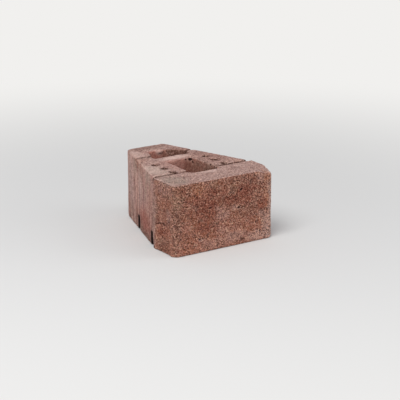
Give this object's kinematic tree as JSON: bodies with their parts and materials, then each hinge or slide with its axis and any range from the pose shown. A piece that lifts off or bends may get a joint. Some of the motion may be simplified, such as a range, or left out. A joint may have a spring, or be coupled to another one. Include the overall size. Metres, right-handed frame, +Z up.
{
  "type": "concrete retaining wall block",
  "caption": "Tapered concrete block for dry-stacked garden walls, with a rough bevelled face, a hollow core and tail, splitting grooves and pin holes.",
  "frame": {"origin": "under the middle of the overall box, on the bed the block rests on", "axes": "+Z up from the bed to the top, -Y out of the wide rough face, +Y towards the narrow tail, +X to the right of someone who looks at the face"},
  "size_m": [0.254, 0.3048, 0.1524],
  "materials": {
    "cast_concrete": "rough, open-grained, tinted dry-cast concrete"
  },
  "bodies": {
    "root": {"wall_block": "cast_concrete"}
  },
  "joints": []
}
